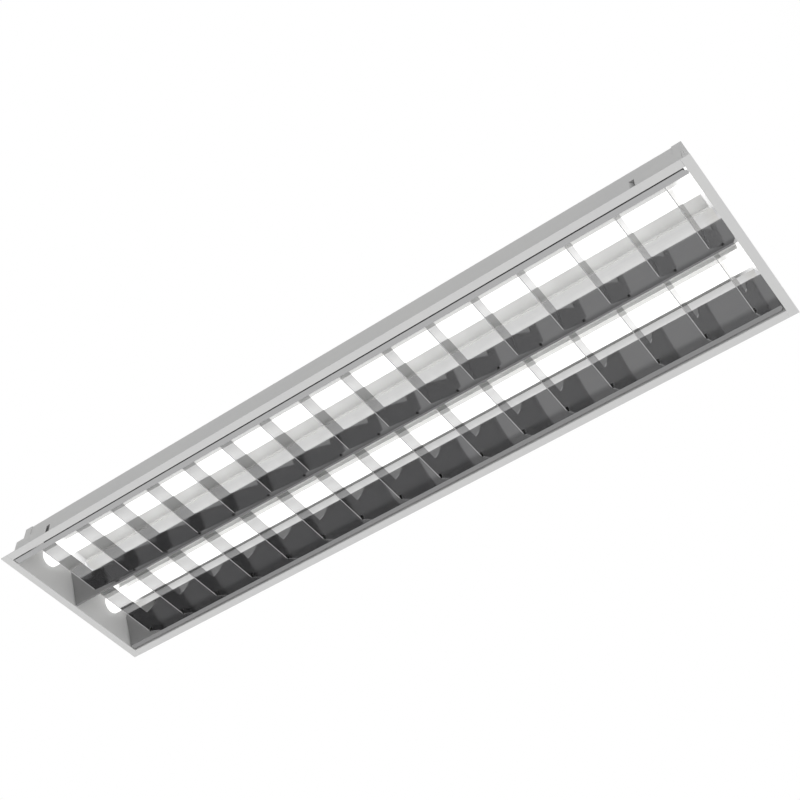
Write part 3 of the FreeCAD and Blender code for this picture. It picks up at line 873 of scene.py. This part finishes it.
# ---------------------------------------------------------------- operators
class TROFFER_OT_housing(bpy.types.Operator):
    """Powder-coated housing, end caps and gear cover, with the gear inside"""
    bl_idname = "troffer.housing"
    bl_label = "Housing and gear"

    def execute(self, context):
        finishes = context.scene.troffer_finishes
        paint = powder_coat("powder_coated_steel", *HOUSING_WHITE)
        for node in ("end_cap_left", "end_cap_right"):
            eased_copy(node, FOLD_EASE, paint, smooth=False)
        body = eased_copy("housing_body", FOLD_EASE, paint)
        # The roof's inside gets a painted glow beside the holders, past the reflectors' cut corners:
        # emission that stands for the lamplight there.
        painted_glow_coat = powder_coat(
            "painted_glow_powder_coat", *HOUSING_WHITE, glow=finishes.roof_painted_glow,
            glow_start=finishes.roof_painted_glow_start)
        body.data.materials.append(painted_glow_coat)
        for face in body.data.polygons:
            if face.normal.z < LOOKS_DOWN and face.center.z > ROOF_INSIDE:
                face.material_index = 1
        # The cover between the tubes has a whiter copy of the powder: painted light that stands for
        # the lamplight on it.
        white = powder_coat("cover_painted_light_powder_coat", "#EFEFEE", "#F2F2F1")
        eased_copy("gear_cover", FOLD_EASE, white)
        can = moulded_plastic(
            "lacquered_ballast_can", "#D3D3D2", "#DADAD9", roughness=0.4, grain_mm=3.0, ior=1.5)
        eased_copy("ballast", CAN_EASE, can)
        polyamide = moulded_plastic(
            "polyamide_block", "#D6D5CC", "#DDDCD4", roughness=0.5, grain_mm=0.8, ior=1.53)
        eased_copy("terminal_block", BLOCK_EASE, polyamide)
        rubber = moulded_plastic(
            "epdm_rubber", "#161616", "#1E1E1E", roughness=0.7, grain_mm=0.6, ior=1.5)
        grommet_ring(rubber)
        return {"FINISHED"}


class TROFFER_OT_louvre(bpy.types.Operator):
    """Mirror louvre: side reflectors, ridge and cross blades"""
    bl_idname = "troffer.louvre"
    bl_label = "Mirror louvre"

    def execute(self, context):
        sizes = context.scene.troffer_louvre
        blur = context.scene.troffer_finishes.mirror_blur
        mirror = anodised_mirror("anodised_mirror_aluminium", "#ACACAD", "#AFAFAF", blur)
        # The fold along the tip is painted darker and duller: painted shade along the crease.
        fold_shade_mirror = anodised_mirror("anodised_fold_painted_shade", "#7C7C7D", "#828283", 4 * blur)
        for side_name, side in SIDES:
            side_reflector(side_name, side, sizes, mirror)
        ridge_reflector(sizes, mirror, fold_shade_mirror)
        for node in BLADES:
            eased_copy(node, BLADE_EASE, mirror, smooth=False)
        return {"FINISHED"}


class TROFFER_OT_tubes(bpy.types.Operator):
    """Two lit tubes with their caps and pins"""
    bl_idname = "troffer.tubes"
    bl_label = "Tubes"

    def execute(self, context):
        sizes = context.scene.troffer_tubes
        finishes = context.scene.troffer_finishes
        glass = phosphor_glass(finishes.glow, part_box("lamp_glass_near")[1].x)
        cap_materials = (drawn_aluminium(finishes.cap_painted_glow), phenolic_board(), nickel_brass())
        for side_name, _side in SIDES:
            tube_glass(side_name, sizes, glass)
            for end_name, end in ENDS:
                tube_cap(side_name, end_name, end, sizes, cap_materials)
        return {"FINISHED"}


class TROFFER_OT_holders(bpy.types.Operator):
    """Four lampholders with their rotors"""
    bl_idname = "troffer.holders"
    bl_label = "Lampholders"

    def execute(self, context):
        finishes = context.scene.troffer_finishes
        # The holders and rotors get a painted glow, standing in for the lamplight on them, up to the
        # end plates.
        lit = {"glow": finishes.holder_painted_glow, "glow_end": finishes.glow_end}
        shell = moulded_plastic(
            "polycarbonate_holder", "#E2E2DE", "#E8E8E4",
            roughness=0.35, grain_mm=0.8, ior=1.58, **lit)
        disc = moulded_plastic(
            "polyester_rotor", "#E6E6E3", "#ECECE9",
            roughness=0.3, grain_mm=0.8, ior=1.57, **lit)
        for side_name, _side in SIDES:
            for end_name, _end in ENDS:
                eased_copy("lampholder_%s_%s" % (side_name, end_name), HOLDER_EASE, shell)
                eased_copy("rotor_%s_%s" % (side_name, end_name), ROTOR_EASE, disc)
        return {"FINISHED"}


class TROFFER_OT_fixings(bpy.types.Operator):
    """Brackets, clips, hinge pins, rivets and screws"""
    bl_idname = "troffer.fixings"
    bl_label = "Brackets and fasteners"

    def execute(self, context):
        zinc = zinc_plate()
        pressed = ("hinge_bracket_", "hinge_ear_", "louvre_clip_", "catch_tab_", "hinge_pin_")
        for end_name, _end in ENDS:
            for node in pressed:
                eased_copy(node + end_name, PRESSED_EASE, zinc)
        for node, outline_for, axis in FASTENERS:
            fastener_group(node, outline_for, axis, zinc)
        eased_copy("earth_screw", EARTH_EASE, zinc)
        return {"FINISHED"}


class TROFFER_OT_stage(bpy.types.Operator):
    """Pale glowing floor, white surround and the camera"""
    bl_idname = "troffer.stage"
    bl_label = "Studio"

    def execute(self, context):
        sizes = context.scene.troffer_studio
        half = sizes.floor_size / 2
        corners = [(-half, -half), (half, -half), (half, half), (-half, half)]
        mesh = bpy.data.meshes.new("floor")
        mesh.from_pydata([(x, y, -sizes.floor_drop) for x, y in corners], [], [(0, 1, 2, 3)])
        floor = bpy.data.objects.new("floor", mesh)
        mesh.materials.append(studio_floor(sizes))
        context.collection.objects.link(floor)

        self.light_sky(context)
        view = bpy.data.cameras.new("camera")
        view.lens = sizes.lens
        view.sensor_width = SENSOR_MM
        camera = bpy.data.objects.new("camera", view)
        camera.location = sizes.camera_place
        camera.rotation_euler = (sizes.camera_tilt, sizes.camera_roll, sizes.camera_turn)
        context.collection.objects.link(camera)
        context.scene.camera = camera
        context.scene.view_settings.view_transform = "Standard"
        return {"FINISHED"}

    @staticmethod
    def light_sky(context):
        """White surround, dimmer high up on the near and right sides, which shades those walls."""
        world = bpy.data.worlds.new("studio")
        context.scene.world = world
        world.use_nodes = True
        tree = world.node_tree
        direction = add_node(tree, "ShaderNodeTexCoord").outputs["Generated"]
        axes = add_node(tree, "ShaderNodeSeparateXYZ", links={"Vector": direction})
        height = add_node(
            tree, "ShaderNodeMapRange", {"From Min": SKY_HEIGHT[0], "From Max": SKY_HEIGHT[1]},
            {"Value": axes.outputs["Z"]}, interpolation_type="SMOOTHSTEP")
        front = add_node(
            tree, "ShaderNodeMath", {1: -1.0}, {0: axes.outputs["Y"]}, operation="MULTIPLY")
        side = add_node(
            tree, "ShaderNodeMath", links={0: front.outputs["Value"], 1: axes.outputs["X"]},
            operation="MAXIMUM")
        turn = add_node(
            tree, "ShaderNodeMapRange", {"From Min": SKY_SIDE[0], "From Max": SKY_SIDE[1]},
            {"Value": side.outputs["Value"]}, interpolation_type="SMOOTHSTEP")
        shade_part = add_node(
            tree, "ShaderNodeMath", links={0: height.outputs["Result"], 1: turn.outputs["Result"]},
            operation="MULTIPLY")
        ramp = add_node(tree, "ShaderNodeValToRGB", links={"Fac": shade_part.outputs["Value"]})
        ramp.color_ramp.elements[0].color = linear(SKY_LIGHT)
        ramp.color_ramp.elements[1].color = linear(SKY_SHADE)
        tree.links.new(ramp.outputs["Color"], tree.nodes["Background"].inputs["Color"])


class TROFFER_PT_panel(bpy.types.Panel):
    """Lists the builders of the light's pieces"""
    bl_idname = "TROFFER_PT_panel"
    bl_label = "Troffer light"
    bl_space_type = "VIEW_3D"
    bl_region_type = "UI"
    bl_category = "Troffer"

    def draw(self, context):
        for operator in OPERATORS:
            self.layout.operator(operator.bl_idname)
        for name in GROUPS:
            group = getattr(context.scene, name)
            box = self.layout.box()
            for key in group.__annotations__:
                box.prop(group, key)


GROUPS = {
    "troffer_louvre": LouvreSizes,
    "troffer_tubes": TubeSizes,
    "troffer_finishes": Finishes,
    "troffer_studio": StudioSizes,
}
OPERATORS = (
    TROFFER_OT_stage,
    TROFFER_OT_housing,
    TROFFER_OT_louvre,
    TROFFER_OT_tubes,
    TROFFER_OT_holders,
    TROFFER_OT_fixings,
)


def register():
    for cls in (*GROUPS.values(), *OPERATORS, TROFFER_PT_panel):
        bpy.utils.register_class(cls)
    for name, group in GROUPS.items():
        setattr(bpy.types.Scene, name, bpy.props.PointerProperty(type=group))


def unregister():
    for name in GROUPS:
        delattr(bpy.types.Scene, name)
    for cls in (TROFFER_PT_panel, *reversed(OPERATORS), *reversed(list(GROUPS.values()))):
        bpy.utils.unregister_class(cls)


def main():
    register()
    for operator in OPERATORS:
        group, name = operator.bl_idname.split(".")
        getattr(getattr(bpy.ops, group), name)()


if __name__ == "__main__":
    main()
